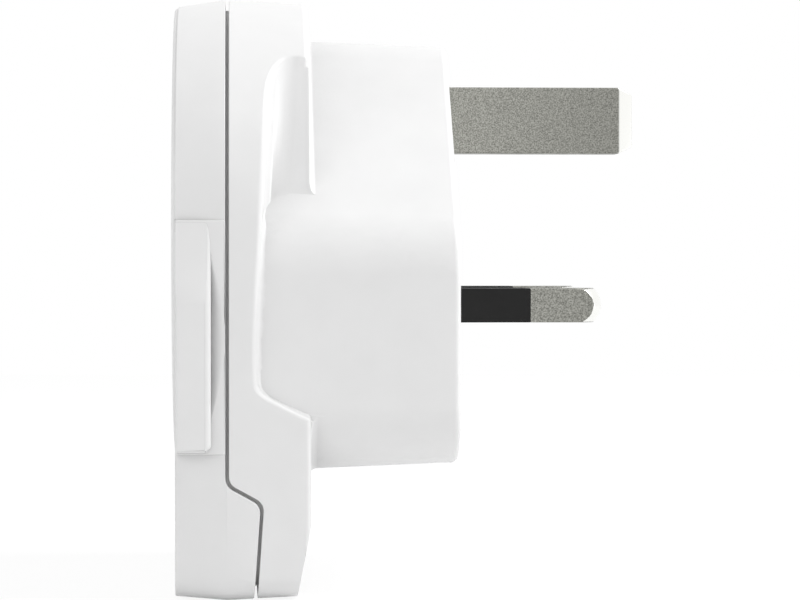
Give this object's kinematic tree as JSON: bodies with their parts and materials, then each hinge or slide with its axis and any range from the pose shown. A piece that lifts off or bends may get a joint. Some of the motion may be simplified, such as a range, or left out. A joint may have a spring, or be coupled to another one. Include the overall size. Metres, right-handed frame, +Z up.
{
  "type": "travel adapter with usb charging ports",
  "caption": "Travel adapter: arch-shaped white case with a shuttered round socket face, USB ports in the chin and a moulded fused plug body with flat sleeved pins.",
  "frame": {"origin": "on the flat plug face, midway between the line pin and the neutral pin", "axes": "+X out along the plug pins, +Z up towards the earth pin, line pin at -Y and neutral pin at +Y"},
  "size_m": [0.0556, 0.0582, 0.0697],
  "materials": {
    "shell_plastic": "white moulded plastic, fine satin grain",
    "inner_plastic": "off-white moulded plastic",
    "sleeve_plastic": "black moulded insulation",
    "pin_metal": "nickel-plated brass, fine blasted grain",
    "contact_metal": "plain sheet brass",
    "steel": "plated steel",
    "usb_plastic": "black insert",
    "fuse_ceramic": "white ceramic tube",
    "board_laminate": "green laminate",
    "winding": "dark core and winding",
    "capacitor_can": "sleeved can"
  },
  "bodies": {
    "case": {"front_shell": "shell_plastic", "rear_shell": "shell_plastic", "socket_plate": "shell_plastic", "contact_carrier": "inner_plastic", "shutter_spring": "steel", "line_contact": "contact_metal", "neutral_contact": "contact_metal", "earth_contact": "contact_metal", "earth_pin": "pin_metal", "line_pin": "pin_metal", "neutral_pin": "pin_metal", "line_pin_sleeve": "sleeve_plastic", "neutral_pin_sleeve": "sleeve_plastic", "line_fuse_clip": "contact_metal", "load_fuse_clip": "contact_metal", "charger_board": "board_laminate", "transformer": "winding", "input_capacitor": "capacitor_can", "filter_capacitor": "capacitor_can", "output_capacitor": "capacitor_can", "supply_strips": "contact_metal", "usb_shell_left": "steel", "usb_shell_right": "steel", "usb_tongue_left": "usb_plastic", "usb_tongue_right": "usb_plastic", "usb_terminals": "contact_metal", "case_screws": "steel"},
    "shutter": {"shutter": "inner_plastic"},
    "fuse_drawer": {"fuse_carrier": "shell_plastic", "fuse_tube": "fuse_ceramic", "fuse_caps": "contact_metal"}
  },
  "joints": [
    {"name": "shutter_slide", "type": "slide", "parent": "case", "child": "shutter", "axis": [0, 0, -1], "range_m": [0, 0.008], "stiffness_N_per_m": 25, "springref_m": -0.004, "deforming": ["shutter_spring"]},
    {"name": "fuse_drawer_slide", "type": "slide", "parent": "case", "child": "fuse_drawer", "axis": [1, 0, 0], "range_m": [0, 0.01]}
  ]
}
